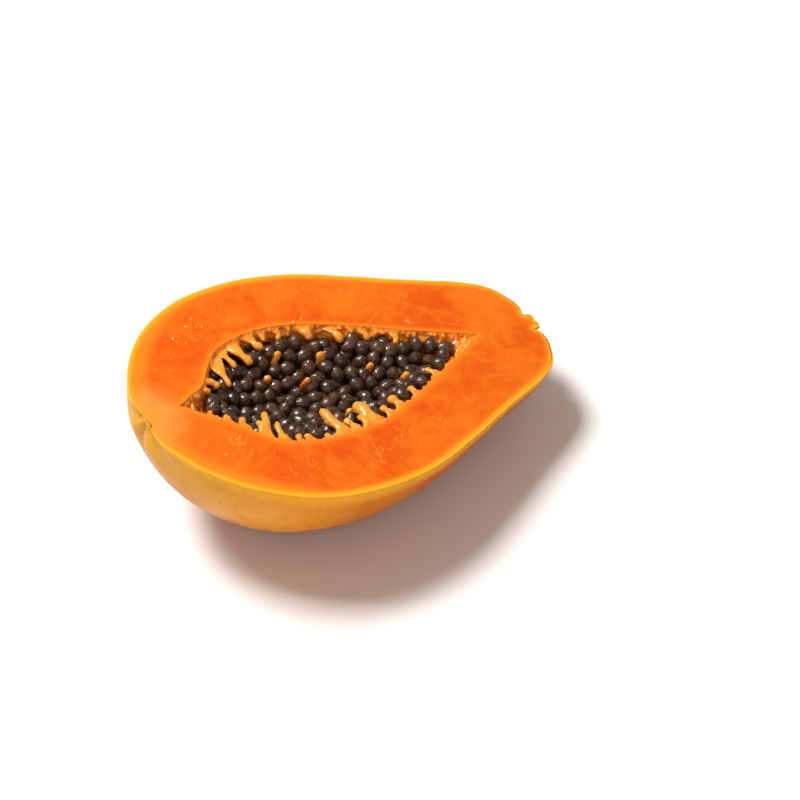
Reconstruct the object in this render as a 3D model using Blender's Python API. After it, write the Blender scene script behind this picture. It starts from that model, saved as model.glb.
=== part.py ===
"""Half of a ripe papaya, cut lengthwise and lying on its skin with the cut face up.

Fruit frame, in millimetres: the origin is the blossom dimple, +X runs along the fruit's axis to
the stem end, +Y runs across the cut face to its far side, and +Z points up out of the cut face.
An empty then tips the fruit into the pose that it rests in, on a small flat spot of its belly.
"""

import math
import random

import bmesh
import bpy
from mathutils import Matrix, Vector

MM = 0.001

# Driving dimensions, in millimetres and degrees
FRUIT_LENGTH = 185.0
HALF_WIDTH = 61.8
DEPTH_SHARE = 0.90
CAVITY_START = 16.0
CAVITY_END = 158.0
CAVITY_HALF_WIDTH = 31.8
CAVITY_DEPTH = 29.0
SEED_LENGTH = 7.3
SEED_WIDTH = 5.8
PITCH = 11.3
TILT = 7.4
FLAT_SPOT_DEPTH = 1.1

# The half outline of the cut face: along the axis and out from it, as shares of length and half width.
# It ends inside the stem scar: a shallow ring-shaped recess round the stub of the stalk.
OUTLINE = (
    (0.001, 0.0),
    (-0.006, 0.10),
    (0.006, 0.27),
    (0.054, 0.53),
    (0.130, 0.76),
    (0.243, 0.937),
    (0.384, 1.0),
    (0.530, 0.945),
    (0.660, 0.805),
    (0.790, 0.645),
    (0.895, 0.525),
    (0.962, 0.405),
    (0.994, 0.24),
    (0.998, 0.15),
)
STEM_SCAR = ((0.994, 0.118), (0.990, 0.098), (0.993, 0.080), (1.006, 0.072), (1.009, 0.050), (1.006, 0.0))

# The half outline of the seed cavity, as shares of its own length and half width
CAVITY_OUTLINE = (
    (0.0, 0.0),
    (0.028, 0.085),
    (0.060, 0.20),
    (0.105, 0.33),
    (0.150, 0.58),
    (0.215, 0.85),
    (0.310, 0.98),
    (0.420, 1.0),
    (0.530, 0.91),
    (0.660, 0.69),
    (0.800, 0.40),
    (0.920, 0.16),
    (1.0, 0.0),
)

# Five carpels leave creases at the blossom end: angles from the near rim, round under the belly
CREASE_ANGLES = (28.0, 92.0, 160.0)
CREASE_DEPTH = 2.4
CREASE_WIDTH = 2.4
CREASE_REACH = 15.0
LOBE_HEIGHT = 0.012

# The cavity's point lies a little to the far side of the axis, and its middle a little to the near side
CAVITY_TIP_SHIFT = 3.0
CAVITY_TIP_REACH = 9.0
CAVITY_MIDDLE_SHIFT = -1.2

# Soft pulp stands in from the cavity wall in lumps and strands, under the rim.
# Each one: side (-1 near, 1 far), place along the axis, depth under the cut, height and half length
PULP_LUMPS = (
    (-1, 24.0, 1.4, 2.4, 3.2),
    (-1, 31.0, 1.6, 4.2, 2.8),
    (-1, 36.0, 1.8, 5.6, 2.2),
    (-1, 42.0, 2.2, 8.5, 2.3),
    (-1, 48.0, 1.8, 4.0, 2.0),
    (-1, 53.0, 1.8, 4.8, 1.7),
    (-1, 57.5, 2.0, 3.8, 1.7),
    (-1, 70.0, 2.8, 10.5, 2.4),
    (-1, 76.0, 2.8, 7.0, 2.0),
    (-1, 82.5, 2.4, 8.0, 2.0),
    (-1, 90.0, 2.4, 3.6, 2.4),
    (-1, 101.0, 3.0, 6.0, 2.2),
    (-1, 113.0, 2.4, 3.4, 2.6),
    (-1, 127.0, 2.6, 3.2, 2.2),
    (1, 29.0, 3.0, 3.2, 2.8),
    (1, 36.0, 3.2, 6.0, 2.4),
    (1, 42.5, 3.6, 8.8, 2.1),
    (1, 49.5, 3.0, 5.0, 3.0),
    (1, 56.5, 3.2, 9.5, 2.2),
    (1, 64.5, 3.2, 6.4, 2.2),
    (1, 75.0, 3.6, 2.8, 2.4),
    (1, 88.5, 3.6, 5.6, 2.2),
    (1, 99.0, 4.0, 7.2, 2.0),
    (1, 111.0, 3.4, 3.6, 2.4),
    (1, 124.0, 3.0, 4.2, 2.2),
)
LUMP_THICKNESS = 2.6
LEDGE_HEIGHT = 1.1
PULP_REACH = 0.42

# Nubs of pulp that stand up between the seeds: place along the axis and across it
NUBS = ((64.0, 13.5), (71.5, 20.5), (90.0, 15.5), (79.5, 8.5), (85.5, -15.5), (108.0, 5.0), (117.0, -6.5))
NUB_RADIUS = 1.9
NUB_LENGTH = 8.6

# Seed bed, and how the seeds lie on it
BED_RIM_DROP = 3.7
BED_MIDDLE_DROP = 17.0
BED_SLOPE = 1.4
WALL_GAP = 1.2
SEED_SPACING = 4.75
SEED_RISE = 1.5
SEED_GAP = 0.9
SEED_TRIES = 30000

# Facets
SKIN_RINGS = 40
SCAR_STEPS = 14
SKIN_STEPS = 30
CAVITY_RINGS = 66
CAVITY_ANGLES = (0.0, 2.5, 5.0, 8.0, 12.0, 18.0, 28.0, 42.0, 58.0, 74.0, 90.0)
BED_RINGS = 26
BED_STEPS = 8
SEED_SIDES = 6
SEED_RINGS = 4


def spline_point(points, t):
    """The point at t, from 0 to 1, on a Catmull-Rom curve through the points."""
    last = len(points) - 1
    index = min(int(t * last), last - 1)
    f = t * last - index
    before = points[max(index - 1, 0)]
    start, end = points[index], points[index + 1]
    after = points[min(index + 2, last)]
    return tuple(
        0.5 * (2 * b + (c - a) * f + (2 * a - 5 * b + 4 * c - d) * f**2 + (3 * b - a - 3 * c + d) * f**3)
        for a, b, c, d in zip(before, start, end, after)
    )


def even_curve(points, count, fine=900):
    """count points, evenly spaced by length along the curve through the points."""
    dense = [spline_point(points, i / fine) for i in range(fine + 1)]
    lengths = [0.0]
    for a, b in zip(dense, dense[1:]):
        lengths.append(lengths[-1] + math.dist(a, b))
    even, place = [], 0
    for i in range(count):
        wanted = lengths[-1] * i / (count - 1)
        while place < fine - 1 and lengths[place + 1] < wanted:
            place += 1
        step = lengths[place + 1] - lengths[place]
        f = (wanted - lengths[place]) / step if step else 0.0
        even.append(tuple(p + (q - p) * f for p, q in zip(dense[place], dense[place + 1])))
    return even


def skin_outline():
    """The meridian of the skin, from the blossom dimple to the middle of the stem scar."""
    body = [(x * FRUIT_LENGTH, r * HALF_WIDTH) for x, r in OUTLINE]
    scar = [body[-1]] + [(x * FRUIT_LENGTH, r * HALF_WIDTH) for x, r in STEM_SCAR]
    return even_curve(body, SKIN_RINGS) + even_curve(scar, SCAR_STEPS)[1:]


def crease_dent(angle, radius, run):
    """How deep the creases press in at this angle, this far from the axis and from the dimple."""
    width = CREASE_WIDTH + 0.12 * run
    dent = 0.0
    for crease in CREASE_ANGLES:
        away = radius * math.radians(angle - crease)
        dent = max(dent, math.exp(-((away / width) ** 2)))
    return CREASE_DEPTH * math.exp(-((run / CREASE_REACH) ** 2)) * dent * min(run / 4.0, 1.0)


def skin_ring(curve, index):
    """One ring of skin points, from the near rim under the belly to the far rim."""
    before, here, after = curve[index - 1], curve[index], curve[index + 1]
    slope = Vector((after[0] - before[0], after[1] - before[1])).normalized()
    run = math.hypot(here[0], here[1])
    ring = []
    for step in range(SKIN_STEPS + 1):
        angle = 180.0 * step / SKIN_STEPS
        dent = crease_dent(angle, here[1], run)
        lobe = 1 - LOBE_HEIGHT * math.cos(math.radians(5 * (angle - CREASE_ANGLES[0])))
        along = here[0] + dent * slope.y
        radius = here[1] * lobe - dent * slope.x
        a = math.radians(angle)
        drop = 0.0 if step in (0, SKIN_STEPS) else -DEPTH_SHARE * radius * math.sin(a)
        ring.append(Vector((along, -radius * math.cos(a), drop)))
    return ring


def cavity_points():
    """The cavity's half outline in millimetres."""
    length = CAVITY_END - CAVITY_START
    return [(CAVITY_START + x * length, r * CAVITY_HALF_WIDTH) for x, r in CAVITY_OUTLINE]


CAVITY_FINE = even_curve(cavity_points(), 300)


def cavity_half_width(along):
    """The cavity's half width where the axis is this far along."""
    for (x0, r0), (x1, r1) in zip(CAVITY_FINE, CAVITY_FINE[1:]):
        if x0 <= along <= x1:
            return r0 + (r1 - r0) * (along - x0) / (x1 - x0)
    return 0.0


def cavity_middle(along):
    """How far the cavity's middle lies from the axis, to the far side."""
    tip = CAVITY_TIP_SHIFT * math.exp(-(((along - CAVITY_START) / CAVITY_TIP_REACH) ** 2))
    t = min(max((along - 70.0) / 25.0, 0.0), 1.0) * min(max((CAVITY_END - along) / 30.0, 0.0), 1.0)
    return tip + CAVITY_MIDDLE_SHIFT * t


def pulp_height(along, angle, half_width):
    """How far the pulp stands in from the cavity wall at this angle from the near rim."""
    a = math.radians(angle)
    deep = CAVITY_DEPTH * half_width / CAVITY_HALF_WIDTH * math.sin(a)
    side = -1 if angle < 90 else 1
    wave = 0.55 + 0.45 * math.sin(along * 1.3) * math.cos(along * 0.37)
    height = LEDGE_HEIGHT * wave * math.exp(-(((deep - 2.0) / 3.0) ** 2))
    for lump_side, lump_along, lump_deep, lump_height, lump_length in PULP_LUMPS:
        away = abs(along - lump_along)
        if lump_side == side and away < 3 * lump_length:
            spread = math.exp(-((away / lump_length) ** 2) - ((deep - lump_deep) / LUMP_THICKNESS) ** 2)
            height = max(height, lump_height * spread)
    return min(height * (1 - 0.75 * math.exp(-((deep / 0.8) ** 2))), PULP_REACH * half_width)


def cavity_ring(along, half_width):
    """One ring of the cavity wall, from the near rim under the seeds to the far rim."""
    ring = []
    middle = cavity_middle(along)
    angles = CAVITY_ANGLES + tuple(180.0 - angle for angle in reversed(CAVITY_ANGLES[:-1]))
    for angle in angles:
        a = math.radians(angle)
        radius = half_width - pulp_height(along, angle, half_width)
        deep = CAVITY_DEPTH / CAVITY_HALF_WIDTH * radius
        drop = 0.0 if angle in (0.0, 180.0) else -deep * math.sin(a)
        ring.append(Vector((along, middle - radius * math.cos(a), drop)))
    return ring


def inside_wall(point, gap):
    """Whether a point lies inside the cavity, at least this far from its wall."""
    half_width = cavity_half_width(point.x)
    if half_width < 1.0:
        return False
    across = point.y - cavity_middle(point.x)
    round_z = point.z * CAVITY_HALF_WIDTH / CAVITY_DEPTH
    radius = math.hypot(across, round_z)
    if radius < (1 - PULP_REACH) * half_width - gap:
        return True
    angle = math.degrees(math.atan2(-round_z, -across))
    shifts, swings = (-2.0, -1.0, 0.0, 1.0, 2.0), (-4.0, 0.0, 4.0)
    around = [min(max(angle + swing, 0.0), 180.0) for swing in swings]
    pulp = max(pulp_height(point.x + shift, near, half_width) for shift in shifts for near in around)
    return radius < half_width - pulp - gap


def new_object(name, bm, colour, roughness, parent):
    """An object from a bmesh in millimetres, with its own material, under the empty."""
    bmesh.ops.scale(bm, vec=Vector((MM, MM, MM)), verts=bm.verts)
    bmesh.ops.recalc_face_normals(bm, faces=bm.faces)
    mesh = bpy.data.meshes.new(name)
    bm.to_mesh(mesh)
    bm.free()
    obj = bpy.data.objects.new(name, mesh)
    bpy.context.scene.collection.objects.link(obj)
    obj.parent = parent
    material = bpy.data.materials.new(name)
    material.use_nodes = True
    shader = material.node_tree.nodes["Principled BSDF"]
    shader.inputs["Base Color"].default_value = (*colour, 1)
    shader.inputs["Roughness"].default_value = roughness
    shader.inputs["Metallic"].default_value = 0
    mesh.materials.append(material)
    return obj


def smooth(obj):
    """Shades the object smooth, with crisp edges where it was cut."""
    obj.data.shade_smooth()
    obj.data.set_sharp_from_angle(angle=math.radians(38))


def add_shell(bm, first, rings, last):
    """Faces over a row of rings that closes on one point at each end. Returns the edges along its rims."""
    start = bm.verts.new(first)
    rows = [[bm.verts.new(p) for p in ring] for ring in rings]
    end = bm.verts.new(last)
    for a, b in zip(rows[0], rows[0][1:]):
        bm.faces.new((start, a, b))
    for row, following in zip(rows, rows[1:]):
        for i in range(len(row) - 1):
            bm.faces.new((row[i], following[i], following[i + 1], row[i + 1]))
    for a, b in zip(rows[-1], rows[-1][1:]):
        bm.faces.new((a, end, b))
    loop = [start] + [row[0] for row in rows] + [end] + [row[-1] for row in reversed(rows)]
    return [bm.edges.get((loop[i - 1], loop[i])) for i in range(len(loop))]


def papaya_half(parent):
    """Skin, flesh and pulp, grown as one piece, with the cavity left open in the cut face."""
    bm = bmesh.new()
    skin = skin_outline()
    rings = [skin_ring(skin, i) for i in range(1, len(skin) - 1)]
    rim = add_shell(bm, Vector((skin[0][0], 0, 0)), rings, Vector((skin[-1][0], 0, 0)))
    cavity = even_curve(cavity_points(), CAVITY_RINGS)
    walls = [cavity_ring(*place) for place in cavity[1:-1]]
    ends = [Vector((along, cavity_middle(along), 0)) for along, _ in (cavity[0], cavity[-1])]
    rim += add_shell(bm, ends[0], walls, ends[1])
    bmesh.ops.triangle_fill(bm, use_beauty=True, edges=rim)
    return new_object("papaya_half", bm, (0.92, 0.36, 0.04), 0.45, parent)


def bed_height(along, across):
    """How far under the cut face the seed bed lies, as a negative number."""
    half_width = max(cavity_half_width(along), 0.1)
    share = min(abs(across - cavity_middle(along)) / half_width, 1.0)
    fullness = half_width / CAVITY_HALF_WIDTH
    hollow = (BED_MIDDLE_DROP - BED_RIM_DROP) * (1 - share**2) ** BED_SLOPE * fullness
    return -(BED_RIM_DROP * fullness**0.7 + hollow)


def bed_room(along, side):
    """How far the bed reaches from the axis to one side before it would touch the pulp."""
    half_width = cavity_half_width(along)
    angles = CAVITY_ANGLES[:-1] if side < 0 else [180.0 - angle for angle in CAVITY_ANGLES[:-1]]
    shifts = (-3.0, -1.5, 0.0, 1.5, 3.0)
    pulp = max(pulp_height(along + shift, angle, half_width) for angle in angles for shift in shifts)
    return max(half_width - pulp - WALL_GAP, 0.5)


def bed_ring(along):
    """A closed ring of the seed bed: along its hollow top, then back along its underside."""
    half_width = cavity_half_width(along)
    depth = CAVITY_DEPTH * half_width / CAVITY_HALF_WIDTH
    middle = cavity_middle(along)
    across = []
    for step in range(BED_STEPS + 1):
        share = -1 + 2 * step / BED_STEPS
        across.append(share * bed_room(along, -1 if share < 0 else 1))
    top = [Vector((along, middle + y, bed_height(along, middle + y))) for y in across]
    under = []
    for y in reversed(across[1:-1]):
        floor = -depth * math.sqrt(1 - (y / half_width) ** 2) + 1.6 * WALL_GAP
        under.append(Vector((along, middle + y, min(floor, bed_height(along, middle + y) - 0.6))))
    return top + under


def seed_bed():
    """The slim core that the seeds stand out of."""
    bm = bmesh.new()
    first = next(x for x, r in CAVITY_FINE if r > 5.0)
    last = max(x for x, r in CAVITY_FINE if r > 6.5)
    places = [first + (last - first) * i / (BED_RINGS - 1) for i in range(BED_RINGS)]
    rows = [[bm.verts.new(p) for p in bed_ring(along)] for along in places]
    for row, following in zip(rows, rows[1:]):
        for i in range(len(row)):
            j = (i + 1) % len(row)
            bm.faces.new((row[i], following[i], following[j], row[j]))
    bm.faces.new(rows[0])
    bm.faces.new(list(reversed(rows[-1])))
    bmesh.ops.triangulate(bm, faces=bm.faces)
    return bm


def egg_rows(turn, lean, length=SEED_LENGTH, width=SEED_WIDTH):
    """An egg's tips and rings about its own middle, turned on the bed and leaned up out of it."""
    pose = Matrix.Rotation(turn, 3, "Z") @ Matrix.Rotation(-lean, 3, "Y")
    rows = []
    for ring in range(1, SEED_RINGS):
        a = math.pi * ring / SEED_RINGS
        radius = width * 0.5 * math.sin(a) * (1 + 0.10 * math.cos(a))
        row = []
        for side in range(SEED_SIDES):
            b = math.tau * side / SEED_SIDES
            point = Vector((length * 0.5 * math.cos(a), radius * math.cos(b), radius * math.sin(b)))
            row.append(pose @ point)
        rows.append(row)
    tips = [pose @ Vector((end * length * 0.5, 0, 0)) for end in (1, -1)]
    return tips, rows


def nub_spots():
    """Where the middles of the free nubs of pulp lie: their heads stand a little over the seeds."""
    return [Vector((x, y, bed_height(x, y) + SEED_RISE + 0.6)) for x, y in NUBS]


def seed_places():
    """Seeds on the bed, by a seeded draw: none too near another or a nub, none touching the wall."""
    draw = random.Random(11)
    placed = []
    nubs = nub_spots()
    for _ in range(SEED_TRIES):
        along = draw.uniform(CAVITY_START, CAVITY_END)
        across = draw.uniform(-CAVITY_HALF_WIDTH, CAVITY_HALF_WIDTH) - 1.0
        turn, lean = draw.uniform(0, math.tau), draw.uniform(0.0, 1.35)
        if abs(across - cavity_middle(along)) > cavity_half_width(along) - 2.0:
            continue
        spot = Vector((along, across, bed_height(along, across) + SEED_RISE))
        if any((spot - other[0]).length < SEED_SPACING for other in placed):
            continue
        if any((spot - nub).length < 3.4 for nub in nubs):
            continue
        off_middle = across - cavity_middle(along)
        if abs(off_middle) > bed_room(along, -1 if off_middle < 0 else 1) - 0.4:
            continue
        tips, rows = egg_rows(turn, lean)
        if all(inside_wall(spot + p, SEED_GAP) for p in tips + sum(rows, [])):
            placed.append((spot, turn, lean))
    return placed


def egg_mesh(name, spot, tips, rows):
    """One closed egg, in metres."""
    bm = bmesh.new()
    start, end = (bm.verts.new((spot + p) * MM) for p in tips)
    rings = [[bm.verts.new((spot + p) * MM) for p in row] for row in rows]
    for i in range(SEED_SIDES):
        j = (i + 1) % SEED_SIDES
        bm.faces.new((start, rings[0][i], rings[0][j]))
        for ring, following in zip(rings, rings[1:]):
            bm.faces.new((ring[i], following[i], following[j], ring[j]))
        bm.faces.new((rings[-1][i], end, rings[-1][j]))
    bmesh.ops.recalc_face_normals(bm, faces=bm.faces)
    mesh = bpy.data.meshes.new(name)
    bm.to_mesh(mesh)
    bm.free()
    return mesh


def seeds(parent):
    """All the seeds and the nubs between them, joined to their bed by one Boolean union."""
    bed = new_object("seeds", seed_bed(), (0.035, 0.024, 0.018), 0.28, parent)
    repeats = bpy.data.collections.new("seed_repeats")
    bpy.context.scene.collection.children.link(repeats)
    eggs = [(spot, *egg_rows(turn, lean)) for spot, turn, lean in seed_places()]
    eggs += [(spot, *egg_rows(0.0, 1.45, NUB_LENGTH, 2 * NUB_RADIUS)) for spot in nub_spots()]
    for number, egg in enumerate(eggs):
        seed = bpy.data.objects.new(f"seed_{number}", egg_mesh(f"seed_{number}", *egg))
        seed.parent = parent
        repeats.objects.link(seed)
    union = bed.modifiers.new("seeds_joined", "BOOLEAN")
    union.operation = "UNION"
    union.operand_type = "COLLECTION"
    union.collection = repeats
    union.solver = "EXACT"
    apply_modifiers(bed)
    for seed in list(repeats.objects):
        bpy.data.objects.remove(seed)
    bpy.data.collections.remove(repeats)
    smooth(bed)
    return bed


def apply_modifiers(obj):
    """Keeps the object's evaluated mesh and drops its modifiers."""
    bpy.context.view_layer.update()
    graph = bpy.context.evaluated_depsgraph_get()
    mesh = bpy.data.meshes.new_from_object(obj.evaluated_get(graph))
    obj.modifiers.clear()
    obj.data = mesh


def rest(pose, fruit):
    """Tips the fruit into its resting pose, centred, with the flat spot's depth below the table."""
    pose.rotation_euler = (math.radians(TILT), math.radians(PITCH), 0)
    bpy.context.view_layer.update()
    points = [fruit.matrix_world @ v.co for v in fruit.data.vertices]
    low = [min(p[i] for p in points) for i in range(3)]
    high = [max(p[i] for p in points) for i in range(3)]
    pose.location = (-(low[0] + high[0]) / 2, -(low[1] + high[1]) / 2, -low[2] - FLAT_SPOT_DEPTH * MM)
    bpy.context.view_layer.update()


def flatten_belly(fruit):
    """Cuts the flat spot that the fruit lies on, level with the table."""
    bm = bmesh.new()
    bmesh.ops.create_cube(bm, size=1.0)
    side, height = 0.3, 0.1
    for vert in bm.verts:
        vert.co = Vector((vert.co.x * side, vert.co.y * side, (vert.co.z - 0.5) * height))
    mesh = bpy.data.meshes.new("table_cutter")
    bm.to_mesh(mesh)
    bm.free()
    table = bpy.data.objects.new("table_cutter", mesh)
    bpy.context.scene.collection.objects.link(table)
    table.hide_render = True
    table.display_type = "WIRE"
    cut = fruit.modifiers.new("flat_spot", "BOOLEAN")
    cut.operation = "DIFFERENCE"
    cut.object = table
    cut.solver = "EXACT"


def main():
    for obj in list(bpy.data.objects):
        bpy.data.objects.remove(obj)
    pose = bpy.data.objects.new("resting_pose", None)
    bpy.context.scene.collection.objects.link(pose)
    fruit = papaya_half(pose)
    smooth(fruit)
    seeds(pose)
    rest(pose, fruit)
    flatten_belly(fruit)


main()
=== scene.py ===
"""The looks of a papaya half lying cut face up: skin, flesh, pulp, seeds, floor, light and camera."""

import random
from math import asin, atan2, cos, degrees, dist, exp, hypot, inf, pi, radians, sin, sqrt, tau

import bmesh
import bpy
import numpy as np
from mathutils import Matrix, Vector, kdtree, noise


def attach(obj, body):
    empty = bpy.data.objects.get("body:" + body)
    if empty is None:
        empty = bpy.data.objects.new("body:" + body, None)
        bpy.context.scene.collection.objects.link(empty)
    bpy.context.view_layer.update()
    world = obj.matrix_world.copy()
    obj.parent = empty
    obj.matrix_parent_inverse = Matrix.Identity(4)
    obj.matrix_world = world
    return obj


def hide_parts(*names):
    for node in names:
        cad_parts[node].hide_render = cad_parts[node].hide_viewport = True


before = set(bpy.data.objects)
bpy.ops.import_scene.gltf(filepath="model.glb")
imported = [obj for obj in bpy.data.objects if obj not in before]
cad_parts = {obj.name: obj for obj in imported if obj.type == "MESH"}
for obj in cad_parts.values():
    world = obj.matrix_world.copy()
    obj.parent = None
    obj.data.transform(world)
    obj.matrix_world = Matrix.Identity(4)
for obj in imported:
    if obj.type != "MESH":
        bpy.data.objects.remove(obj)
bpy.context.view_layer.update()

# The fruit's own frame, in millimetres, and the shapes that the solids have
MM = 0.001
FRUIT_LENGTH = 185.0
HALF_WIDTH = 61.8
DEPTH_SHARE = 0.90
CAVITY_START = 16.0
CAVITY_END = 158.0
CAVITY_HALF_WIDTH = 31.8
CAVITY_DEPTH = 29.0
SEED_LENGTH = 7.3
SEED_WIDTH = 5.8
PITCH = 11.3
TILT = 7.4
FRUIT_ORIGIN = (-90.394, 0.439, 69.836)
POSE = Matrix.Translation(FRUIT_ORIGIN) @ Matrix.Rotation(radians(PITCH), 4, "Y") @ Matrix.Rotation(
    radians(TILT), 4, "X"
)

OUTLINE = (
    (0.001, 0.0), (-0.006, 0.10), (0.006, 0.27), (0.054, 0.53), (0.130, 0.76), (0.243, 0.937),
    (0.384, 1.0), (0.530, 0.945), (0.660, 0.805), (0.790, 0.645), (0.895, 0.525), (0.962, 0.405),
    (0.994, 0.24), (0.998, 0.15),
)
STEM_SCAR = ((0.994, 0.118), (0.990, 0.098), (0.993, 0.080), (1.006, 0.072), (1.009, 0.050), (1.006, 0.0))

CAVITY_OUTLINE = (
    (0.0, 0.0), (0.028, 0.085), (0.060, 0.20), (0.105, 0.33), (0.150, 0.58), (0.215, 0.85), (0.310, 0.98),
    (0.420, 1.0), (0.530, 0.91), (0.660, 0.69), (0.800, 0.40), (0.920, 0.16), (1.0, 0.0),
)

CREASE_ANGLES = (28.0, 92.0, 160.0)
CREASE_DEPTH = 2.4
CREASE_WIDTH = 2.4
CREASE_REACH = 15.0
LOBE_HEIGHT = 0.012
# The cavity's point lies a little to the far side of the axis, and its middle a little to the near side
CAVITY_TIP_SHIFT = 3.0
CAVITY_TIP_REACH = 9.0
CAVITY_MIDDLE_SHIFT = -1.2

# Soft pulp stands in from the cavity wall in lumps and strands, under the rim.
# Each one: side (-1 near, 1 far), place along the axis, depth under the cut, height and half length
PULP_LUMPS = (
    (-1, 24.0, 1.4, 2.4, 3.2), (-1, 31.0, 1.6, 4.2, 2.8), (-1, 36.0, 1.8, 5.6, 2.2),
    (-1, 42.0, 2.2, 8.5, 2.3), (-1, 48.0, 1.8, 4.0, 2.0), (-1, 53.0, 1.8, 4.8, 1.7),
    (-1, 57.5, 2.0, 3.8, 1.7), (-1, 70.0, 2.8, 10.5, 2.4), (-1, 76.0, 2.8, 7.0, 2.0),
    (-1, 82.5, 2.4, 8.0, 2.0), (-1, 90.0, 2.4, 3.6, 2.4), (-1, 101.0, 3.0, 6.0, 2.2),
    (-1, 113.0, 2.4, 3.4, 2.6), (-1, 127.0, 2.6, 3.2, 2.2), (1, 29.0, 3.0, 3.2, 2.8),
    (1, 36.0, 3.2, 6.0, 2.4), (1, 42.5, 3.6, 8.8, 2.1), (1, 49.5, 3.0, 5.0, 3.0),
    (1, 56.5, 3.2, 9.5, 2.2), (1, 64.5, 3.2, 6.4, 2.2), (1, 75.0, 3.6, 2.8, 2.4),
    (1, 88.5, 3.6, 5.6, 2.2), (1, 99.0, 4.0, 7.2, 2.0), (1, 111.0, 3.4, 3.6, 2.4),
    (1, 124.0, 3.0, 4.2, 2.2),
)
LUMP_THICKNESS = 2.6
LEDGE_HEIGHT = 1.1
PULP_REACH = 0.42

# Nubs of pulp that stand up between the seeds: place along the axis and across it
NUBS = ((64.0, 13.5), (71.5, 20.5), (90.0, 15.5), (79.5, 8.5), (85.5, -15.5), (108.0, 5.0), (117.0, -6.5))
NUB_RADIUS = 1.9
NUB_LENGTH = 8.6

# Seed bed, and how the seeds lie on it
BED_RIM_DROP = 3.7
BED_MIDDLE_DROP = 17.0
BED_SLOPE = 1.4
WALL_GAP = 1.2
SEED_SPACING = 4.75
SEED_RISE = 1.5
SEED_GAP = 0.9
SEED_TRIES = 30000
NUB_CLEARANCE = 3.4

SEED_SIDES = 6
SEED_RINGS = 4
CAVITY_ANGLES = (0.0, 2.5, 5.0, 8.0, 12.0, 18.0, 28.0, 42.0, 58.0, 74.0, 90.0)

# How finely the looks are modelled, and how the skin is cut
RINGS = 300
SCAR_RINGS = 36
SKIN_STEPS = 150
INNER_STEPS = 40
FACE_STEPS = 44
WALL_STEPS = 44
SKIN_THICKNESS = 1.3
LIP_RADIUS = 0.55
LIP_STEPS = 5
INSET = 0.15
BACK_GAP = 0.05

# Under the top layer of seeds: how many draws, and how near a seed may lie to its neighbours
LOWER_SEED_TRIES = 12000
LOWER_SEED_SPACING = 4.9
UPPER_SEED_SPACING = 4.0

# The pulp's rings, and the grain of the mesh that merges it, in metres
PULP_RINGS = 460
PULP_STEPS = 120
PULP_DROP = 0.16
PULP_GRAIN = 0.00036
WELD_DISTANCE = 0.0000015

# The camera in degrees, millimetres from the blossom end's notch and pixels; the light in metres and watts
CAMERA_TURN = -33.76
CAMERA_RISE = 42.4
CAMERA_PLACE = (95.44, 7.84, 850.9)
FOCAL_PIXELS = 2268.5
PICTURE_PIXELS = 800.0
SENSOR_WIDTH = 36.0
FLOOR_REACH = 6.0
WORLD_COLOUR = (1.0, 0.80, 0.66, 1.0)
WORLD_STRENGTH = 0.32

# Tongues of pulp: side, root along the axis, tip along and across, tip depth, root half width, tip radius
TONGUES = (
    (1, 30.0, 33.0, 8.4, 3.0, 1.8, 0.9), (1, 33.5, 38.0, 10.2, 2.6, 3.2, 1.1),
    (1, 42.5, 43.5, 9.0, 3.6, 4.4, 0.9), (1, 48.0, 50.5, 17.5, 3.0, 2.6, 0.8),
    (1, 53.0, 57.5, 17.5, 2.8, 3.0, 1.25), (1, 61.5, 65.5, 23.5, 2.6, 2.4, 1.15),
    (1, 69.0, 69.5, 28.0, 3.2, 2.0, 0.9), (1, 77.0, 76.0, 27.0, 3.4, 1.8, 0.9),
    (1, 87.5, 88.5, 23.5, 2.8, 2.4, 1.5), (1, 99.0, 100.5, 18.0, 3.0, 2.2, 1.2),
    (1, 111.0, 112.0, 15.5, 3.0, 2.0, 1.0), (1, 124.0, 122.0, 9.5, 3.0, 1.8, 1.0),
    (-1, 25.0, 27.0, -2.6, 1.5, 2.2, 0.8), (-1, 30.5, 31.5, -6.6, 1.6, 2.0, 0.8),
    (-1, 35.0, 37.0, -9.4, 1.7, 2.4, 1.0), (-1, 40.5, 47.5, -9.2, 1.9, 3.0, 1.2),
    (-1, 41.5, 42.5, -12.6, 2.0, 1.8, 0.9), (-1, 45.5, 49.5, -15.5, 2.2, 1.7, 0.9),
    (-1, 48.0, 48.4, -23.6, 1.8, 1.5, 0.9), (-1, 53.0, 53.5, -24.8, 1.8, 1.4, 0.9),
    (-1, 57.5, 56.6, -26.2, 1.8, 1.6, 1.0), (-1, 64.0, 64.5, -28.4, 1.8, 1.5, 0.8),
    (-1, 72.0, 70.0, -15.0, 2.4, 2.4, 1.35), (-1, 74.5, 69.5, -20.3, 2.6, 2.2, 1.45),
    (-1, 77.5, 76.5, -23.6, 2.2, 1.8, 1.1), (-1, 88.5, 85.5, -17.0, 2.6, 2.2, 1.9),
    (-1, 84.5, 83.0, -23.2, 2.2, 1.6, 1.1), (-1, 82.0, 82.5, -28.4, 1.6, 1.3, 1.0),
    (-1, 95.5, 94.5, -22.5, 2.2, 1.8, 1.1), (-1, 102.5, 101.0, -18.5, 2.6, 2.0, 1.3),
    (-1, 113.0, 112.0, -16.0, 2.4, 2.0, 1.0), (-1, 127.0, 125.0, -9.0, 2.6, 1.8, 1.0),
)


def spline_point(points, t):
    """The point at t, from 0 to 1, on a Catmull-Rom curve through the points."""
    last = len(points) - 1
    index = min(int(t * last), last - 1)
    f = t * last - index
    before = points[max(index - 1, 0)]
    start, end = points[index], points[index + 1]
    after = points[min(index + 2, last)]
    return tuple(
        0.5 * (2 * b + (c - a) * f + (2 * a - 5 * b + 4 * c - d) * f**2 + (3 * b - a - 3 * c + d) * f**3)
        for a, b, c, d in zip(before, start, end, after)
    )


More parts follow.
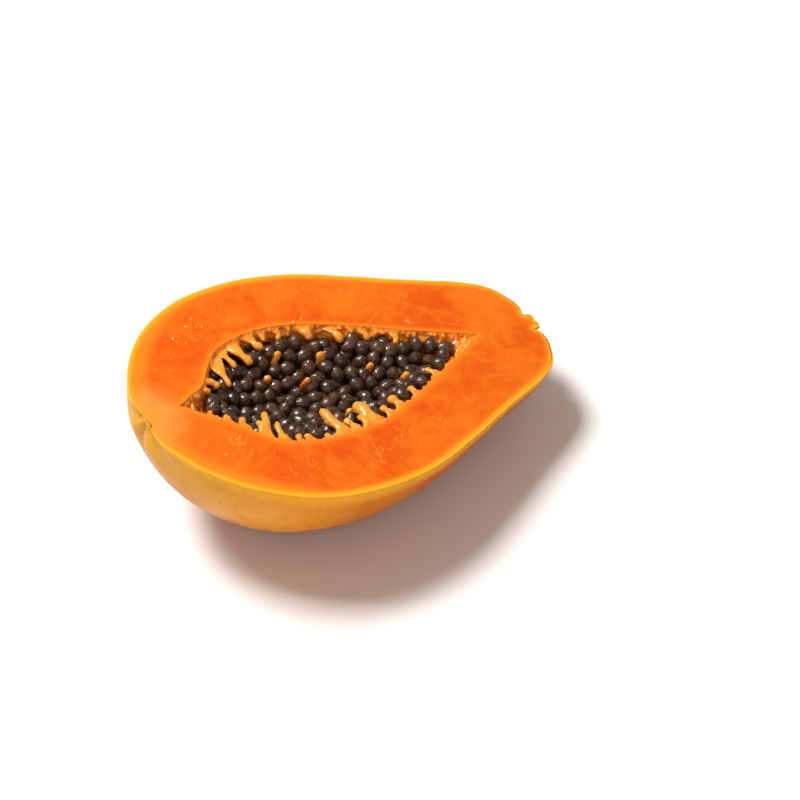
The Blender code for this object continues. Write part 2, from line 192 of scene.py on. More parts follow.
def even_curve(points, count, fine=900):
    """count points, evenly spaced by length along the curve through the points."""
    dense = [spline_point(points, i / fine) for i in range(fine + 1)]
    lengths = [0.0]
    for a, b in zip(dense, dense[1:]):
        lengths.append(lengths[-1] + dist(a, b))
    even, place = [], 0
    for i in range(count):
        wanted = lengths[-1] * i / (count - 1)
        while place < fine - 1 and lengths[place + 1] < wanted:
            place += 1
        step = lengths[place + 1] - lengths[place]
        f = (wanted - lengths[place]) / step if step else 0.0
        even.append(tuple(p + (q - p) * f for p, q in zip(dense[place], dense[place + 1])))
    return even


def smoothstep(low, high, value):
    """0 under low, 1 over high, and a smooth rise between."""
    t = min(max((value - low) / (high - low), 0.0), 1.0)
    return t * t * (3 - 2 * t)


def cavity_points():
    length = CAVITY_END - CAVITY_START
    return [(CAVITY_START + x * length, r * CAVITY_HALF_WIDTH) for x, r in CAVITY_OUTLINE]


CAVITY_FINE = even_curve(cavity_points(), 300)
CAVITY_X = np.array([p[0] for p in CAVITY_FINE])
CAVITY_R = np.array([p[1] for p in CAVITY_FINE])


def cavity_half_width(along):
    """The cavity's half width where the axis is this far along."""
    if not CAVITY_X[0] <= along <= CAVITY_X[-1]:
        return 0.0
    return float(np.interp(along, CAVITY_X, CAVITY_R))


def cavity_middle(along):
    """How far the cavity's middle lies from the axis, to the far side."""
    tip = CAVITY_TIP_SHIFT * exp(-(((along - CAVITY_START) / CAVITY_TIP_REACH) ** 2))
    t = min(max((along - 70.0) / 25.0, 0.0), 1.0) * min(max((CAVITY_END - along) / 30.0, 0.0), 1.0)
    return tip + CAVITY_MIDDLE_SHIFT * t


def hollow_depth(half_width):
    """How deep the cavity is where it has this half width."""
    return CAVITY_DEPTH * half_width / CAVITY_HALF_WIDTH


def lump_here(side, along, deep, length_share, thickness):
    """How far the highest lump of pulp near this place stands in from the wall."""
    heights = [-inf]
    for lump_side, lump_along, lump_deep, lump_height, lump_length in PULP_LUMPS:
        away = abs(along - lump_along)
        if lump_side == side and away < 3 * lump_length:
            off = (away / (length_share * lump_length)) ** 2
            heights.append(lump_height * exp(-off - ((deep - lump_deep) / thickness) ** 2))
    return max(heights)


def pulp_height(along, angle, half_width):
    """How far the pulp stands in from the cavity wall at this angle from the near rim."""
    a = radians(angle)
    deep = hollow_depth(half_width) * sin(a)
    side = -1 if angle < 90 else 1
    wave = 0.55 + 0.45 * sin(along * 1.3) * cos(along * 0.37)
    height = LEDGE_HEIGHT * wave * exp(-(((deep - 2.0) / 3.0) ** 2))
    height = max(height, lump_here(side, along, deep, 1.0, LUMP_THICKNESS))
    return min(height * (1 - 0.75 * exp(-((deep / 0.8) ** 2))), PULP_REACH * half_width)


def inside_wall(point, gap):
    """Whether a point lies inside the cavity, at least this far from its wall."""
    half_width = cavity_half_width(point.x)
    if half_width < 1.0:
        return False
    across = point.y - cavity_middle(point.x)
    round_z = point.z * CAVITY_HALF_WIDTH / CAVITY_DEPTH
    radius = hypot(across, round_z)
    if radius < (1 - PULP_REACH) * half_width - gap:
        return True
    angle = degrees(atan2(-round_z, -across))
    shifts, swings = (-2.0, -1.0, 0.0, 1.0, 2.0), (-4.0, 0.0, 4.0)
    around = [min(max(angle + swing, 0.0), 180.0) for swing in swings]
    pulp = max(pulp_height(point.x + shift, near, half_width) for shift in shifts for near in around)
    return radius < half_width - pulp - gap


def bed_height(along, across):
    """How far under the cut face the seed bed lies, as a negative number."""
    half_width = max(cavity_half_width(along), 0.1)
    share = min(abs(across - cavity_middle(along)) / half_width, 1.0)
    fullness = half_width / CAVITY_HALF_WIDTH
    hollow = (BED_MIDDLE_DROP - BED_RIM_DROP) * (1 - share**2) ** BED_SLOPE * fullness
    return -(BED_RIM_DROP * fullness**0.7 + hollow)


def bed_room(along, side):
    """How far the bed reaches from the axis to one side before it would touch the pulp."""
    half_width = cavity_half_width(along)
    angles = CAVITY_ANGLES[:-1] if side < 0 else [180.0 - angle for angle in CAVITY_ANGLES[:-1]]
    shifts = (-3.0, -1.5, 0.0, 1.5, 3.0)
    pulp = max(pulp_height(along + shift, angle, half_width) for angle in angles for shift in shifts)
    return max(half_width - pulp - WALL_GAP, 0.5)


def egg_rows(turn, lean):
    """An egg's tips and rings about its own middle, turned on the bed and leaned up out of it."""
    pose = Matrix.Rotation(turn, 3, "Z") @ Matrix.Rotation(-lean, 3, "Y")
    rows = []
    for ring in range(1, SEED_RINGS):
        a = pi * ring / SEED_RINGS
        radius = SEED_WIDTH * 0.5 * sin(a) * (1 + 0.10 * cos(a))
        row = []
        for side in range(SEED_SIDES):
            b = tau * side / SEED_SIDES
            point = Vector((SEED_LENGTH * 0.5 * cos(a), radius * cos(b), radius * sin(b)))
            row.append(pose @ point)
        rows.append(row)
    tips = [pose @ Vector((end * SEED_LENGTH * 0.5, 0, 0)) for end in (1, -1)]
    return tips, rows


def nub_spots():
    """Where the middles of the free nubs of pulp lie: their heads stand a little over the seeds."""
    return [Vector((x, y, bed_height(x, y) + SEED_RISE + 0.6)) for x, y in NUBS]


def crowded(spot, others, spacing):
    """Whether a spot lies nearer than the spacing to the middle of a seed."""
    return any((spot - other[0]).length < spacing for other in others)


def seed_places():
    """Seeds on the bed, by a seeded draw: none too near another or a nub, none touching the wall."""
    draw = random.Random(11)
    placed = []
    nubs = nub_spots()
    for _ in range(SEED_TRIES):
        along = draw.uniform(CAVITY_START, CAVITY_END)
        across = draw.uniform(-CAVITY_HALF_WIDTH, CAVITY_HALF_WIDTH) - 1.0
        turn, lean = draw.uniform(0, tau), draw.uniform(0.0, 1.35)
        if abs(across - cavity_middle(along)) > cavity_half_width(along) - 2.0:
            continue
        spot = Vector((along, across, bed_height(along, across) + SEED_RISE))
        if crowded(spot, placed, SEED_SPACING):
            continue
        if any((spot - nub).length < NUB_CLEARANCE for nub in nubs):
            continue
        off_middle = across - cavity_middle(along)
        if abs(off_middle) > bed_room(along, -1 if off_middle < 0 else 1) - 0.4:
            continue
        tips, rows = egg_rows(turn, lean)
        if all(inside_wall(spot + p, SEED_GAP) for p in tips + sum(rows, [])):
            placed.append((spot, turn, lean))
    return placed


def linear(r, g, b):
    """A linear colour from 0 to 255 display values."""

    def channel(value):
        value /= 255.0
        return value / 12.92 if value <= 0.04045 else ((value + 0.055) / 1.055) ** 2.4

    return (channel(r), channel(g), channel(b), 1.0)


class Shader:
    """A small hand for wiring a node material."""

    def __init__(self, name):
        self.material = bpy.data.materials.new(name)
        self.material.use_nodes = True
        self.tree = self.material.node_tree
        self.bsdf = self.tree.nodes["Principled BSDF"]

    def put(self, value, socket):
        if isinstance(value, bpy.types.NodeSocket):
            self.tree.links.new(value, socket)
        else:
            socket.default_value = value

    def node(self, kind, sockets=None, **settings):
        """A node with its settings, and with its sockets, by name or number, filled or linked."""
        made = self.tree.nodes.new(kind)
        for key, value in settings.items():
            setattr(made, key, value)
        for key, value in (sockets or {}).items():
            self.put(value, made.inputs[key])
        return made

    def attribute(self, name, vector=False):
        made = self.node("ShaderNodeAttribute", attribute_name=name)
        return made.outputs["Vector" if vector else "Fac"]

    def position(self):
        return self.node("ShaderNodeTexCoord").outputs["Object"]

    def scaled(self, vector, scale):
        return self.node("ShaderNodeMapping", {"Vector": vector, "Scale": scale}).outputs["Vector"]

    def noise(self, vector, scale, detail=3.0, rough=0.55, distortion=0.0):
        sockets = {"Vector": vector, "Scale": scale, "Detail": detail, "Roughness": rough}
        sockets["Distortion"] = distortion
        return self.node("ShaderNodeTexNoise", sockets).outputs["Fac"]

    def cells(self, vector, scale):
        return self.node("ShaderNodeTexVoronoi", {"Vector": vector, "Scale": scale}).outputs["Distance"]

    def ramp(self, value, low, high, out_low=0.0, out_high=1.0):
        sockets = {"Value": value, "From Min": low, "From Max": high, "To Min": out_low, "To Max": out_high}
        return self.node("ShaderNodeMapRange", sockets, interpolation_type="SMOOTHSTEP").outputs["Result"]

    def math(self, operation, a, b):
        return self.node("ShaderNodeMath", {0: a, 1: b}, operation=operation).outputs[0]

    def sway(self, value, noise, amount):
        """The value, moved up and down by half this amount each way by a noise."""
        return self.math("ADD", value, self.math("MULTIPLY", self.math("SUBTRACT", noise, 0.5), amount))

    def mix(self, factor, a, b):
        return self.node("ShaderNodeMix", {0: factor, 6: a, 7: b}, data_type="RGBA").outputs[2]

    def layers(self, colour, coats):
        """Lays colours over the first one, each by its own factor and at most by its share."""
        for factor, share, over in coats:
            if share < 1:
                factor = self.math("MULTIPLY", factor, share)
            colour = self.mix(factor, colour, linear(*over))
        return colour

    def bump(self, height, distance, strength, normal=None):
        sockets = {"Height": height, "Distance": distance, "Strength": strength}
        if normal is not None:
            sockets["Normal"] = normal
        return self.node("ShaderNodeBump", sockets).outputs["Normal"]

    def set(self, **inputs):
        for name, value in inputs.items():
            self.put(value, self.bsdf.inputs[name.replace("_", " ")])


def flesh_material():
    """Ripe flesh: deep orange with redder clouds, paler at the blossom end and the skin, moist; on the cavity
    wall a painted glow lightens it and painted shade darkens it further down.
    """
    s = Shader("papaya_flesh")
    where = s.position()
    rim, hollow, along, deep, notch = (
        s.attribute(name) for name in ("rim_mm", "hollow_mm", "along_mm", "deep_mm", "notch_mm")
    )
    radial = s.attribute("radial", vector=True)
    broad = s.noise(where, 24.0, 2.0, 0.5, 0.6)
    cloud = s.noise(where, 62.0, 4.0, 0.62, 1.4)
    fine = s.noise(where, 170.0, 4.0, 0.6, 0.8)
    streaks = s.noise(s.scaled(radial, (0.16, 0.05, 1.0)), 1.0, 4.0, 0.6, 1.5)
    hair = s.noise(s.scaled(radial, (1.1, 0.22, 1.0)), 1.0, 4.0, 0.65, 2.2)
    blossom = s.ramp(s.sway(notch, cloud, 15.6), 23.0, 8.0)
    wide = s.math("ADD", 5.0, s.ramp(along, 60.0, 10.0, 0.0, 6.0))
    near_rim = s.ramp(s.math("DIVIDE", s.sway(rim, cloud, 6.0), wide), 1.0, 0.35)
    colour = s.mix(s.ramp(broad, 0.34, 0.66), linear(217, 84, 9), linear(227, 109, 16))
    colour = s.layers(colour, (
        (s.ramp(cloud, 0.46, 0.70), 0.55, (231, 120, 24)),
        (s.ramp(cloud, 0.47, 0.30), 0.45, (208, 70, 8)),
        (s.ramp(streaks, 0.52, 0.72), 0.40, (233, 127, 30)),
        (s.ramp(hair, 0.58, 0.74), 0.22, (236, 138, 50)),
        (s.ramp(fine, 0.54, 0.70), 0.30, (212, 74, 9)),
        (near_rim, 0.80, (234, 134, 32)),
        (blossom, 0.85, (235, 146, 60)),
        (s.ramp(rim, 3.4, 1.3), 1.0, (240, 164, 28)),
        (s.ramp(hollow, 3.6, 0.2), 0.70, (240, 136, 28)),
        # Painted light: the whole cavity wall is lightened as if lit through the flesh.
        (s.ramp(deep, 0.2, 1.5), 1.0, (248, 136, 30)),
        # Painted shade: the cavity wall darkens deeper down the hollow.
        (s.ramp(deep, 6.0, 16.0), 1.0, (176, 62, 10)),
    ))
    normal = s.bump(s.noise(where, 110.0), 0.0010, 0.40)
    normal = s.bump(s.cells(where, 420.0), 0.0003, 0.20, normal)
    normal = s.bump(s.noise(where, 640.0, 3.0, 0.6), 0.00022, 0.35, normal)
    wet = s.ramp(s.noise(where, 150.0, 3.0, 0.6), 0.40, 0.66, 0.50, 0.28)
    s.set(Base_Color=colour, Roughness=wet, Normal=normal, Specular_IOR_Level=0.14)
    s.set(Subsurface_Weight=0.20, Subsurface_Scale=0.003, Subsurface_Radius=(1.0, 0.30, 0.08))
    return s.material


def juice_material():
    """A clear bead of juice over the flesh: its colour, with a hard shine."""
    s = Shader("papaya_juice")
    s.set(Base_Color=linear(250, 138, 44), Roughness=0.04, Specular_IOR_Level=0.7)
    s.set(Coat_Weight=1.0, Coat_Roughness=0.02)
    return s.material


def fibre_material():
    s = Shader("papaya_fibres")
    tone = s.noise(s.position(), 180.0, 2.0)
    s.set(Base_Color=s.mix(tone, linear(240, 126, 32), linear(246, 150, 70)), Roughness=0.45)
    s.set(Specular_IOR_Level=0.3)
    return s.material


def skin_material():
    """Waxy ripe skin: golden, more orange to the stem end and beneath, partly its own colour and partly
    painted shade, with creases darkened by painted shade and brown specks.
    """
    s = Shader("papaya_skin")
    where = s.position()
    along, angle, crease, scar, on_cut = (
        s.attribute(name) for name in ("along_mm", "angle", "crease", "scar", "on_cut")
    )
    broad = s.noise(where, 15.0, 3.0, 0.5, 0.5)
    patch = s.noise(where, 46.0, 4.0, 0.6, 0.8)
    small = s.noise(where, 150.0, 4.0, 0.65, 0.5)
    specks = s.ramp(s.cells(where, 210.0), 0.17, 0.09)
    speckled = s.ramp(s.noise(where, 22.0, 2.0), 0.52, 0.64)
    scuffs = s.ramp(s.noise(s.scaled(where, (1.0, 1.0, 2.2)), 240.0, 4.0, 0.7, 1.6), 0.64, 0.69)
    scuffed = s.ramp(s.noise(where, 27.0, 2.0, 0.5), 0.58, 0.66)
    colour = s.mix(s.ramp(broad, 0.36, 0.64), linear(226, 148, 32), linear(222, 134, 20))
    colour = s.layers(colour, (
        (s.ramp(patch, 0.48, 0.70), 0.55, (208, 110, 10)),
        (s.ramp(patch, 0.44, 0.30), 0.45, (228, 158, 44)),
        # Darker orange toward the stem end and round the underside: partly the skin's own colour, partly
        # painted shade.
        (s.ramp(s.sway(along, broad, 50.0), 30.0, 105.0), 0.86, (188, 82, 0)),
        (s.ramp(s.sway(angle, patch, 30.0), 22.0, 66.0), 0.72, (168, 72, 0)),
        (s.ramp(s.sway(along, patch, 22.0), 26.0, 4.0), 0.80, (218, 158, 52)),
        (s.ramp(angle, 2.0, 9.0, 0.75, 0.0), 1.0, (244, 170, 26)),
        (s.ramp(small, 0.52, 0.70), 0.22, (182, 98, 16)),
        (s.math("MULTIPLY", specks, speckled), 0.60, (134, 78, 24)),
        (s.math("MULTIPLY", scuffs, scuffed), 0.70, (128, 74, 30)),
        # Painted shade: the creases darkened where they press in.
        (crease, 0.70, (150, 112, 34)),
        (scar, 1.0, (96, 68, 40)),
        (on_cut, 1.0, (244, 174, 40)),
    ))
    normal = s.bump(s.noise(where, 120.0), 0.0008, 0.22)
    normal = s.bump(small, 0.0004, 0.14, normal)
    normal = s.bump(s.cells(where, 900.0), 0.00012, 0.16, normal)
    s.set(Base_Color=colour, Normal=normal, Roughness=s.ramp(patch, 0.3, 0.7, 0.34, 0.5))
    s.set(Subsurface_Weight=0.10, Subsurface_Scale=0.003, Subsurface_Radius=(1.0, 0.45, 0.10))
    s.set(Specular_IOR_Level=0.15)
    return s.material


def pulp_material():
    """Soft amber pulp, translucent and moist, paler where it stands free, with painted highlights in pale
    flecks and painted shade deeper down.
    """
    s = Shader("papaya_pulp")
    where = s.position()
    cloud = s.ramp(s.noise(where, 150.0, 4.0), 0.35, 0.65)
    colour = s.layers(s.mix(cloud, linear(244, 126, 24), linear(250, 146, 36)), (
        (s.ramp(s.attribute("free_mm"), 1.0, 4.0), 1.0, (246, 154, 50)),
        # Painted highlights: pale flecks scattered over the pulp.
        (s.ramp(s.noise(where, 420.0), 0.5, 0.7), 0.35, (250, 180, 84)),
        # Painted shade: darker deep down the hollow.
        (s.ramp(s.attribute("deep_mm"), 6.0, 14.0), 1.0, (176, 72, 16)),
    ))
    s.set(Base_Color=colour, Normal=s.bump(s.noise(where, 900.0), 0.0003, 0.5), Roughness=0.28)
    s.set(Subsurface_Weight=0.5, Subsurface_Scale=0.004, Subsurface_Radius=(1.0, 0.45, 0.12))
    s.set(Specular_IOR_Level=0.35, Coat_Weight=0.5, Coat_Roughness=0.08)
    return s.material


def seed_material():
    """Wet seeds: nearly black, brown and olive by the seed, with lengthwise ridges under a glossy film."""
    s = Shader("papaya_seeds")
    local = s.attribute("seed_local", vector=True)
    ridges = s.noise(s.scaled(local, (2.2, 1.0, 1.0)), 6.0, 4.0, 0.65, 0.4)
    colour = s.mix(s.attribute("seed_tone"), linear(28, 12, 4), linear(68, 38, 17))
    colour = s.layers(colour, ((s.ramp(ridges, 0.42, 0.70), 0.5, (120, 78, 40)),))
    crinkle = s.bump(s.noise(s.position(), 620.0, 3.0, 0.6, 0.8), 0.0005, 0.45)
    s.set(Base_Color=colour, Normal=s.bump(ridges, 0.00035, 0.5), Roughness=0.42, Specular_IOR_Level=0.30)
    s.set(Coat_Weight=0.85, Coat_Roughness=0.04, Coat_Normal=crinkle)
    return s.material


def shade_bed_material():
    s = Shader("bed_painted_shade")
    where = s.position()
    # Near black: painted shade, standing for the dark gaps between the seeds.
    colour = s.mix(s.noise(where, 260.0), linear(18, 8, 4), linear(52, 22, 8))
    s.set(Base_Color=colour, Roughness=0.3, Normal=s.bump(s.noise(where, 400.0), 0.0006, 0.6))
    return s.material


def floor_material():
    s = Shader("studio_floor")
    tone = s.ramp(s.noise(s.position(), 6.0, 2.0), 0.3, 0.7, 0.86, 0.87)
    grey = s.node("ShaderNodeCombineColor", {0: tone, 1: tone, 2: tone})
    s.set(Base_Color=grey.outputs[0], Roughness=0.9, Specular_IOR_Level=0.2)
    return s.material


def sheet(rows, faces, closed=False):
    """Faces between rows of point numbers, which are open or run round in a ring."""
    for row, following in zip(rows, rows[1:]):
        for k in range(len(row) if closed else len(row) - 1):
            j = (k + 1) % len(row)
            faces.append((row[k], following[k], following[j], row[j]))


def tube(rows, faces):
    """Faces of a tube round rings of point numbers, with both ends closed."""
    for row, following in zip(rows, rows[1:]):
        for k in range(len(row)):
            j = (k + 1) % len(row)
            faces.append((row[k], row[j], following[j], following[k]))
    faces.append(tuple(reversed(rows[0])))
    faces.append(tuple(rows[-1]))


def add_object(name, data):
    made = bpy.data.objects.new(name, data)
    bpy.context.scene.collection.objects.link(made)
    return made


def make_piece(name, points, faces, material, node, attributes=None):
    """A piece from points in the fruit frame, laid in the fruit's resting pose."""
    mesh = bpy.data.meshes.new(name)
    co = np.asarray(points, dtype=float)
    turn = np.array(POSE.to_3x3())
    world = (co @ turn.T + np.array(POSE.translation)) * MM
    mesh.from_pydata(world.tolist(), [], faces)
    for key, values in (attributes or {}).items():
        values = np.asarray(values, dtype=np.float32)
        kind = "FLOAT" if values.ndim == 1 else "FLOAT_VECTOR"
        layer = mesh.attributes.new(key, kind, "POINT")
        layer.data.foreach_set("value" if values.ndim == 1 else "vector", values.ravel())
    mesh.validate()
    mesh.materials.append(material)
    mesh.shade_smooth()
    piece = add_object(name, mesh)
    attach(piece, "root")
    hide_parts(node)
    return piece


def mend(piece, weld=False):
    """Keeps the piece above the surface it lies on, merges doubled points if asked, and rights its faces."""
    bm = bmesh.new()
    bm.from_mesh(piece.data)
    for vert in bm.verts:
        vert.co.z = max(vert.co.z, 0.0)
    if weld:
        bmesh.ops.remove_doubles(bm, verts=bm.verts, dist=WELD_DISTANCE)
    bmesh.ops.recalc_face_normals(bm, faces=bm.faces)
    bm.to_mesh(piece.data)
    bm.free()
    return piece


def skin_curve():
    body = [(x * FRUIT_LENGTH, r * HALF_WIDTH) for x, r in OUTLINE]
    scar = [body[-1]] + [(x * FRUIT_LENGTH, r * HALF_WIDTH) for x, r in STEM_SCAR]
    return even_curve(body, RINGS - SCAR_RINGS + 1) + even_curve(scar, SCAR_RINGS)[1:]


def crease_shape(angle, radius, run):
    """How deep the creases press in, with a shoulder on each side, in millimetres; and how strongly painted
    shade darkens them, from 0 to 1.
    """
    width = CREASE_WIDTH + 0.12 * run
    fade = exp(-((run / CREASE_REACH) ** 2)) * min(run / 4.0, 1.0)
    dent, shoulder = 0.0, 0.0
    for crease in CREASE_ANGLES:
        away = radius * radians(angle - crease)
        dent = max(dent, exp(-((away / width) ** 2)))
        shoulder = max(shoulder, exp(-(((abs(away) - 2.1 * width) / (0.9 * width)) ** 2)))
    return CREASE_DEPTH * fade * (dent - 0.22 * shoulder), fade * dent**3


SKIN_CURVE = skin_curve()


def skin_point(index, angle, inset):
    """A point of the skin at a ring and an angle from the near rim, set in, with its crease."""
    before, here, after = SKIN_CURVE[index - 1], SKIN_CURVE[index], SKIN_CURVE[index + 1]
    tx, tr = after[0] - before[0], after[1] - before[1]
    size = hypot(tx, tr)
    tx, tr = tx / size, tr / size
    run = hypot(here[0], here[1])
    dent, crease = crease_shape(angle, here[1], run)
    lobe = 1 - LOBE_HEIGHT * cos(radians(5 * (angle - CREASE_ANGLES[0])))
    a = radians(angle)
    seat = Vector((here[0] * 0.03, here[1] * cos(a) * 0.03, here[1] * sin(a) * 0.03))
    lumps = 0.30 * noise.noise(seat * 1.1) + 0.16 * noise.noise(seat * 3.1 + Vector((7, 3, 1)))
    push = dent + inset - min(lumps, 0.1) * min(here[1] / 12.0, 1.0)
    along = here[0] + push * tr
    radius = max(here[1] * lobe - push * tx, 0.0)
    return along, radius, crease, run


def belly_point(along, radius, angle):
    """A point round the underside, from the near rim at 0 degrees to the far rim at 180."""
    a = radians(angle)
    return Vector((along, -radius * cos(a), -DEPTH_SHARE * radius * sin(a)))


def skin_thickness(rim_radius):
    """How thick the skin is: less where the fruit comes to a point."""
    return min(SKIN_THICKNESS, 0.5 * rim_radius)


def cut_strip(index, side, thick, lip):
    """The skin's cut edge from its inner side out over the lip: each point, and how far it is on the cut."""
    along, radius, crease, _ = skin_point(index, 0.0 if side < 0 else 180.0, INSET)
    strip = []
    for share in (0.0, 0.5):
        inner = radius - thick + share * (thick - lip)
        strip.append((Vector((along, side * inner, 0.0)), 1.0))
    for step in range(LIP_STEPS):
        bend = 0.5 * pi * step / LIP_STEPS
        out = radius - lip + lip * sin(bend)
        point = Vector((along, side * out, -lip + lip * cos(bend)))
        strip.append((point, 1.0 - 0.9 * step / LIP_STEPS))
    return strip, along, crease


def scar_share(index):
    """How far a ring of the skin belongs to the stem scar."""
    if index > RINGS - SCAR_RINGS:
        return 1.0
    if index <= RINGS - SCAR_RINGS - 9:
        return 0.0
    along, radius = SKIN_CURVE[index]
    inward = smoothstep(0.165, 0.14, radius / HALF_WIDTH)
    return smoothstep(FRUIT_LENGTH * 0.9925, FRUIT_LENGTH * 0.9965, along) * inward


def skin_piece(material):
    """The skin as a thin closed shell, its lip rounded where it was cut."""
    points, faces, rows = [], [], []
    attributes = {"along_mm": [], "angle": [], "crease": [], "scar": [], "on_cut": []}

    def add(p, *values):
        points.append(p)
        for key, value in zip(attributes, values):
            attributes[key].append(value)
        return len(points) - 1

    for index in range(1, RINGS - 1):
        scar = scar_share(index)
        rim_radius = skin_point(index, 0.0, INSET)[1]
        lip = min(LIP_RADIUS, 0.3 * rim_radius)
        lip_angle = degrees(asin(min(lip / max(DEPTH_SHARE * rim_radius, 0.01), 0.5)))
        thick = skin_thickness(rim_radius)
        near, along, crease = cut_strip(index, -1, thick, lip)
        row = [add(p, along, 0.0, crease, scar * (1 - cut), cut) for p, cut in near]
        for step in range(SKIN_STEPS + 1):
            angle = lip_angle + (180.0 - 2 * lip_angle) * step / SKIN_STEPS
            along, radius, crease, _ = skin_point(index, angle, INSET)
            from_rim = min(angle, 180 - angle)
            row.append(add(belly_point(along, radius, angle), along, from_rim, crease, scar, 0.0))
        far, along, crease = cut_strip(index, 1, thick, lip)
        row += [add(p, along, 0.0, crease, scar * (1 - cut), cut) for p, cut in reversed(far)]
        for step in range(1, INNER_STEPS):
            angle = 180.0 - 180.0 * step / INNER_STEPS
            along, radius, _, _ = skin_point(index, angle, INSET + thick)
            from_rim = min(angle, 180 - angle)
            row.append(add(belly_point(along, radius, angle), along, from_rim, 0.0, 0.0, 0.0))
        rows.append(row)
    sheet(rows, faces, closed=True)
    faces.append(tuple(rows[0]))
    faces.append(tuple(reversed(rows[-1])))
    return mend(make_piece("papaya_skin", points, faces, material, "papaya_half", attributes))


def rim_loop(side):
    """The skin's inner edge on the cut face, from the blossom end to the stem end."""
    loop = []
    for index in range(1, RINGS - 1):
        thick = skin_thickness(skin_point(index, 0.0, INSET)[1])
        along, radius, _, _ = skin_point(index, 0.0 if side < 0 else 180.0, INSET)
        loop.append(Vector((along, side * (radius - thick), 0.0)))
    return loop


def wall_pulp(along, angle, half_width):
    """The flesh wall's own gentle unevenness."""
    seat = Vector((along * 0.35, angle * 0.06, 3.0))
    return min(0.35 + 0.3 * noise.noise(seat), 0.2 * half_width)


def hollow_point(along, radius, angle, drop=0.0):
    """A point round the hollow at this radius from its middle, and this much further down."""
    a = radians(angle)
    depth = -CAVITY_DEPTH / CAVITY_HALF_WIDTH * radius * sin(a)
    return Vector((along, cavity_middle(along) - radius * cos(a), min(depth, 0.0) - drop))


def wall_point(along, half_width, angle):
    return hollow_point(along, half_width - wall_pulp(along, angle, half_width), angle)


def face_shares(span):
    """Where the cut face's points lie from the hollow to the skin, with the dip of the hollow's soft edge."""
    bevel = ((0.0, -0.30), (0.10, -0.14), (0.24, -0.04), (0.42, 0.0))
    shares = [(away / span, dip) for away, dip in bevel]
    start = shares[-1][0]
    for step in range(1, FACE_STEPS + 1):
        share = step / FACE_STEPS
        shares.append((start + (1 - start) * (share - 0.05 * sin(tau * share)), 0.0))
    return shares


def flesh_piece(material):
    """The flesh: the cut face, the cavity wall, and a hidden back against the skin."""
    count = RINGS - 2
    cavity = even_curve(cavity_points(), RINGS)[1:-1]
    points, kinds, radial, faces = [], [], [], []
    on_top, in_hollow, on_back = range(3)

    def add(p, kind, flow):
        points.append(p)
        kinds.append(kind)
        radial.append(flow)
        return len(points) - 1

    sides = []
    for side in (-1, 1):
        rim, grid, run = rim_loop(side), [], 0.0
        for i in range(count):
            if side > 0 and i in (0, count - 1):
                grid.append(sides[0][i])
                continue
            inner = wall_point(*cavity[i], 0.0 if side < 0 else 180.0)
            inner.z = 0.0
            if i:
                run += 0.5 * ((rim[i] - rim[i - 1]).length + dist(cavity[i], cavity[i - 1]))
            column = []
            span = (rim[i] - inner).length
            for share, dip in face_shares(span):
                p = inner.lerp(rim[i], share)
                lift = 0.10 * noise.noise(p * 0.05) + 0.05 * noise.noise(p * 0.23)
                sink = (lift - 0.14) * smoothstep(0.0, 0.05, 1 - share) * smoothstep(0.0, 0.03, share)
                flow = (run + 40.0, share * span, side * min(run, 60.0) * 0.3)
                column.append(add(Vector((p.x, p.y, sink + dip)), on_top, flow))
            grid.append(column)
        sides.append(grid)
    near, far = sides
    walls, backs = [], []
    for i in range(count):
        ring = [near[i][0]]
        for step in range(1, WALL_STEPS):
            angle = 180.0 * step / WALL_STEPS
            ring.append(add(wall_point(*cavity[i], angle), in_hollow, (cavity[i][0], 0.0, angle)))
        walls.append(ring + [far[i][0]])
    for i in range(count):
        ring = [near[i][-1]]
        thick = skin_thickness(skin_point(i + 1, 0.0, INSET)[1])
        for step in range(1, INNER_STEPS):
            angle = 180.0 * step / INNER_STEPS
            along, radius, _, _ = skin_point(i + 1, angle, INSET + thick + BACK_GAP)
            ring.append(add(belly_point(along, radius, angle), on_back, (0.0, 0.0, 0.0)))
        backs.append(ring + [far[i][-1]])
    for rows in (near, far, walls, backs):
        sheet(rows, faces)
    for i in (0, count - 1):
        faces.append(tuple(walls[i][:-1]))
        faces.append(tuple(backs[i][:-1]))
    rim_tree, hollow_tree = kdtree.KDTree(2 * count), kdtree.KDTree(2 * count)
    for i in range(count):
        for k, column in enumerate((near[i], far[i])):
            rim_tree.insert(points[column[-1]], 2 * i + k)
            hollow_tree.insert(points[column[0]], 2 * i + k)
    rim_tree.balance()
    hollow_tree.balance()
    top = [kind == on_top for kind in kinds]
    attributes = {
        "notch_mm": [hypot(p.x, p.y - 1.0) for p in points],
        "rim_mm": [rim_tree.find(p)[2] + SKIN_THICKNESS if up else 40.0 for p, up in zip(points, top)],
        "hollow_mm": [hollow_tree.find(p)[2] if up else 0.0 for p, up in zip(points, top)],
        "along_mm": [p.x for p in points],
        "deep_mm": [-p.z if kind == in_hollow else 0.0 for p, kind in zip(points, kinds)],
        "radial": radial,
    }
    return mend(make_piece("papaya_flesh", points, faces, material, "papaya_half", attributes))


